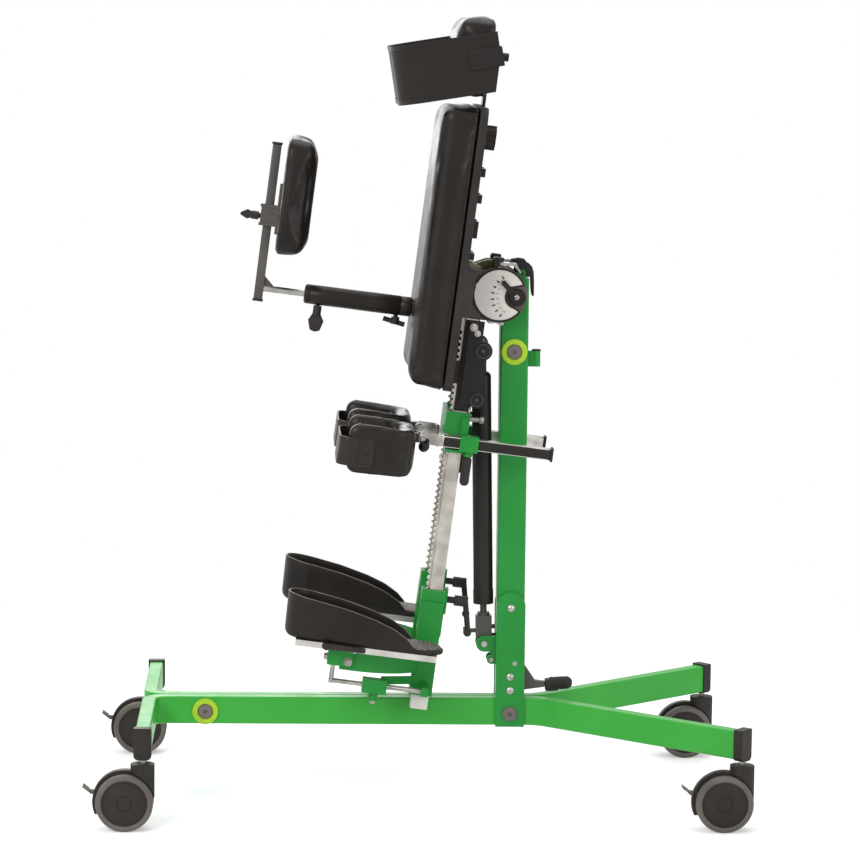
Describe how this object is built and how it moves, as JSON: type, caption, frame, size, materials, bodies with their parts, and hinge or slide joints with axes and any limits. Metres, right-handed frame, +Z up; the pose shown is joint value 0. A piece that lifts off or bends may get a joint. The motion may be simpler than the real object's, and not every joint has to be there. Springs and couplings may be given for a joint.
{
  "type": "standing frame",
  "caption": "Wheeled prone standing frame with a tilting padded board, chest belt, sliding back support, knee cups, sandals, strut and braked castors.",
  "frame": {"origin": "On the floor, below the middle of the whole frame's bounding box.", "axes": "+X is the way the user faces, from the front castors to the rear ones at the mast's back; +Y is the user's left; +Z is up."},
  "size_m": [1.1634, 0.6646, 1.4054],
  "materials": {
    "green_paint": "gloss powder coat",
    "black_paint": "satin powder coat",
    "grey_paint": "satin powder coat",
    "zinc_steel": "bright zinc plate",
    "board_steel": "satin plated steel tube",
    "plate_alloy": "satin",
    "vinyl": "soft black upholstery with fine grain",
    "webbing": "woven webbing over soft lining",
    "black_plastic": "satin moulded",
    "housing_plastic": "satin moulded",
    "scale_plastic": "satin",
    "lime_plastic": "satin moulded",
    "grey_plastic": "satin moulded",
    "grip_rubber": "matte",
    "castor_tread": "smooth tread"
  },
  "bodies": {
    "base": {"rail_near": "green_paint", "rail_far": "green_paint", "leg_end_caps": "black_plastic", "mast_tube": "green_paint", "mast_plates": "green_paint", "frame_pins": "zinc_steel", "ring_caps": "lime_plastic", "ring_plugs": "grey_plastic", "angle_pointer": "black_plastic"},
    "pedal": {"foot_pedal": "grey_paint", "pedal_grip": "grip_rubber"},
    "head_lever": {"tilt_lever": "black_plastic"},
    "castor_front_near_swivel": {"castor_front_near_fork": "black_plastic"},
    "castor_front_near_roll": {"castor_front_near_wheels": "castor_tread"},
    "castor_front_near_pedal": {"castor_front_near_brake": "grey_plastic"},
    "castor_front_far_swivel": {"castor_front_far_fork": "black_plastic"},
    "castor_front_far_roll": {"castor_front_far_wheels": "castor_tread"},
    "castor_front_far_pedal": {"castor_front_far_brake": "grey_plastic"},
    "castor_rear_near_swivel": {"castor_rear_near_fork": "black_plastic"},
    "castor_rear_near_roll": {"castor_rear_near_wheels": "castor_tread"},
    "castor_rear_near_pedal": {"castor_rear_near_brake": "grey_plastic"},
    "castor_rear_far_swivel": {"castor_rear_far_fork": "black_plastic"},
    "castor_rear_far_roll": {"castor_rear_far_wheels": "castor_tread"},
    "castor_rear_far_pedal": {"castor_rear_far_brake": "grey_plastic"},
    "strut_lower": {"strut_rod": "grey_paint"},
    "strut_upper": {"strut_cylinder": "black_paint"},
    "board": {"strut_bracket": "black_paint", "board_tubes": "board_steel", "board_shell": "black_plastic", "trunk_cushion": "vinyl", "tilt_heads": "housing_plastic", "dial_plate": "scale_plastic", "arm_sleeve": "vinyl"},
    "chest": {"chest_post": "black_paint", "chest_pad": "vinyl", "chest_belt": "webbing"},
    "chest_lock": {"chest_knob": "black_plastic"},
    "back_arm": {"arm_rod": "grey_paint"},
    "arm_clamp": {"arm_lever": "black_plastic"},
    "arm_screw": {"arm_knob": "black_plastic"},
    "back": {"back_clamp": "grey_paint", "back_pad": "vinyl"},
    "back_screw": {"back_knob": "black_plastic"},
    "knees": {"knee_carriage": "green_paint"},
    "knee_lock_near": {"knee_knob_near": "black_plastic"},
    "knee_arm_near": {"knee_bar_near": "black_paint"},
    "knee_pad_near": {"knee_cup_near": "vinyl", "knee_strap_near": "webbing"},
    "foot_near": {"foot_bracket_near": "green_paint"},
    "foot_clamp_near": {"foot_lever_near": "black_plastic"},
    "shoe_near": {"foot_plate_near": "plate_alloy", "sandal_near": "black_plastic"},
    "knee_lock_far": {"knee_knob_far": "black_plastic"},
    "knee_arm_far": {"knee_bar_far": "black_paint"},
    "knee_pad_far": {"knee_cup_far": "vinyl", "knee_strap_far": "webbing"},
    "foot_far": {"foot_bracket_far": "green_paint"},
    "foot_clamp_far": {"foot_lever_far": "black_plastic"},
    "shoe_far": {"foot_plate_far": "plate_alloy", "sandal_far": "black_plastic"}
  },
  "joints": [
    {"name": "board_tilt", "type": "hinge", "parent": "base", "child": "board", "pos_m": [0.17425, 0, 0.907], "axis": [0, 1, 0], "range_deg": [-7, 83]},
    {"name": "strut_swing", "type": "hinge", "parent": "base", "child": "strut_lower", "pos_m": [0.12725, 0, 0.274], "axis": [0, 1, 0], "range_deg": [-5.3, 0.6]},
    {"name": "strut_stroke", "type": "slide", "parent": "strut_lower", "child": "strut_upper", "axis": [-0.0211, 0, 0.9998], "range_m": [-0.0125, 0.1445]},
    {"name": "pedal_press", "type": "hinge", "parent": "base", "child": "pedal", "pos_m": [0.18225, 0, 0.24], "axis": [0, 1, 0], "range_deg": [0, 8]},
    {"name": "lever_pull", "type": "hinge", "parent": "base", "child": "head_lever", "pos_m": [0.18625, 0, 0.946], "axis": [0, 1, 0], "range_deg": [-35, 0]},
    {"name": "castor_front_near_turn", "type": "hinge", "parent": "base", "child": "castor_front_near_swivel", "pos_m": [-0.47775, -0.306, 0.1], "axis": [0, 0, 1], "continuous": true},
    {"name": "castor_front_near_spin", "type": "hinge", "parent": "castor_front_near_swivel", "child": "castor_front_near_roll", "pos_m": [-0.50875, -0.306, 0.05], "axis": [0, 1, 0], "continuous": true},
    {"name": "castor_front_near_brake_press", "type": "hinge", "parent": "castor_front_near_swivel", "child": "castor_front_near_pedal", "pos_m": [-0.55375, -0.306, 0.066], "axis": [0, 1, 0], "range_deg": [-16, 0]},
    {"name": "castor_front_far_turn", "type": "hinge", "parent": "base", "child": "castor_front_far_swivel", "pos_m": [-0.47775, 0.306, 0.1], "axis": [0, 0, 1], "continuous": true},
    {"name": "castor_front_far_spin", "type": "hinge", "parent": "castor_front_far_swivel", "child": "castor_front_far_roll", "pos_m": [-0.50875, 0.306, 0.05], "axis": [0, 1, 0], "continuous": true},
    {"name": "castor_front_far_brake_press", "type": "hinge", "parent": "castor_front_far_swivel", "child": "castor_front_far_pedal", "pos_m": [-0.55375, 0.306, 0.066], "axis": [0, 1, 0], "range_deg": [-16, 0]},
    {"name": "castor_rear_near_turn", "type": "hinge", "parent": "base", "child": "castor_rear_near_swivel", "pos_m": [0.56125, -0.294, 0.1], "axis": [0, 0, 1], "continuous": true},
    {"name": "castor_rear_near_spin", "type": "hinge", "parent": "castor_rear_near_swivel", "child": "castor_rear_near_roll", "pos_m": [0.53025, -0.294, 0.05], "axis": [0, 1, 0], "continuous": true},
    {"name": "castor_rear_near_brake_press", "type": "hinge", "parent": "castor_rear_near_swivel", "child": "castor_rear_near_pedal", "pos_m": [0.48525, -0.294, 0.066], "axis": [0, 1, 0], "range_deg": [-16, 0]},
    {"name": "castor_rear_far_turn", "type": "hinge", "parent": "base", "child": "castor_rear_far_swivel", "pos_m": [0.56125, 0.294, 0.1], "axis": [0, 0, 1], "continuous": true},
    {"name": "castor_rear_far_spin", "type": "hinge", "parent": "castor_rear_far_swivel", "child": "castor_rear_far_roll", "pos_m": [0.53025, 0.294, 0.05], "axis": [0, 1, 0], "continuous": true},
    {"name": "castor_rear_far_brake_press", "type": "hinge", "parent": "castor_rear_far_swivel", "child": "castor_rear_far_pedal", "pos_m": [0.48525, 0.294, 0.066], "axis": [0, 1, 0], "range_deg": [-16, 0]},
    {"name": "chest_height", "type": "slide", "parent": "board", "child": "chest", "axis": [0.1219, 0, 0.9925], "range_m": [0, 0.12]},
    {"name": "chest_knob_turn", "type": "hinge", "parent": "board", "child": "chest_lock", "pos_m": [0.12799, 0, 1.18672], "axis": [0.9925, 0, -0.1219], "continuous": true},
    {"name": "arm_reach", "type": "slide", "parent": "board", "child": "back_arm", "axis": [0.9925, 0, -0.1219], "range_m": [-0.09, 0.045]},
    {"name": "arm_lever_turn", "type": "hinge", "parent": "board", "child": "arm_clamp", "pos_m": [-0.03948, 0, 0.85667], "axis": [0.1219, 0, 0.9925], "range_deg": [-60, 60]},
    {"name": "arm_knob_turn", "type": "hinge", "parent": "board", "child": "arm_screw", "pos_m": [-0.18113, 0, 0.85996], "axis": [0.1219, 0, 0.9925], "continuous": true},
    {"name": "back_height", "type": "slide", "parent": "back_arm", "child": "back", "axis": [0.1219, 0, 0.9925], "range_m": [-0.035, 0.09]},
    {"name": "back_knob_turn", "type": "hinge", "parent": "back", "child": "back_screw", "pos_m": [-0.3021, 0, 1.04811], "axis": [0.9925, 0, -0.1219], "continuous": true},
    {"name": "knee_height", "type": "slide", "parent": "board", "child": "knees", "axis": [0.1219, 0, 0.9925], "range_m": [-0.09, 0]},
    {"name": "knee_knob_turn_near", "type": "hinge", "parent": "knees", "child": "knee_lock_near", "pos_m": [0.08684, -0.084, 0.6054], "axis": [0.1219, 0, 0.9925], "continuous": true},
    {"name": "knee_reach_near", "type": "slide", "parent": "knees", "child": "knee_arm_near", "axis": [0.9925, 0, -0.1219], "range_m": [-0.05, 0.025]},
    {"name": "knee_cup_tilt_near", "type": "hinge", "parent": "knee_arm_near", "child": "knee_pad_near", "pos_m": [0.00958, -0.084, 0.65721], "axis": [0, 1, 0], "range_deg": [-15, 15]},
    {"name": "foot_height_near", "type": "slide", "parent": "board", "child": "foot_near", "axis": [0.1219, 0, 0.9925], "range_m": [-0.03, 0.06]},
    {"name": "foot_lever_turn_near", "type": "hinge", "parent": "foot_near", "child": "foot_clamp_near", "pos_m": [0.07671, -0.05, 0.3588], "axis": [0.9925, 0, -0.1219], "range_deg": [-90, 0]},
    {"name": "foot_turn_near", "type": "hinge", "parent": "foot_near", "child": "shoe_near", "pos_m": [-0.13104, -0.138, 0.29968], "axis": [0.1219, 0, 0.9925], "range_deg": [-20, 5]},
    {"name": "knee_knob_turn_far", "type": "hinge", "parent": "knees", "child": "knee_lock_far", "pos_m": [0.08684, 0.084, 0.6054], "axis": [0.1219, 0, 0.9925], "continuous": true},
    {"name": "knee_reach_far", "type": "slide", "parent": "knees", "child": "knee_arm_far", "axis": [0.9925, 0, -0.1219], "range_m": [-0.05, 0.025]},
    {"name": "knee_cup_tilt_far", "type": "hinge", "parent": "knee_arm_far", "child": "knee_pad_far", "pos_m": [0.00958, 0.084, 0.65721], "axis": [0, 1, 0], "range_deg": [-15, 15]},
    {"name": "foot_height_far", "type": "slide", "parent": "board", "child": "foot_far", "axis": [0.1219, 0, 0.9925], "range_m": [-0.03, 0.06]},
    {"name": "foot_lever_turn_far", "type": "hinge", "parent": "foot_far", "child": "foot_clamp_far", "pos_m": [0.07879, 0.05, 0.37567], "axis": [0.9925, 0, -0.1219], "range_deg": [0, 90]},
    {"name": "foot_turn_far", "type": "hinge", "parent": "foot_far", "child": "shoe_far", "pos_m": [-0.12897, 0.138, 0.31655], "axis": [0.1219, 0, 0.9925], "range_deg": [-5, 20]}
  ],
  "couplings": [
    {"joint": "strut_swing", "follows": "board_tilt", "ratio": -0.062},
    {"joint": "strut_stroke", "follows": "board_tilt", "m_per_rad": 0.0994}
  ]
}
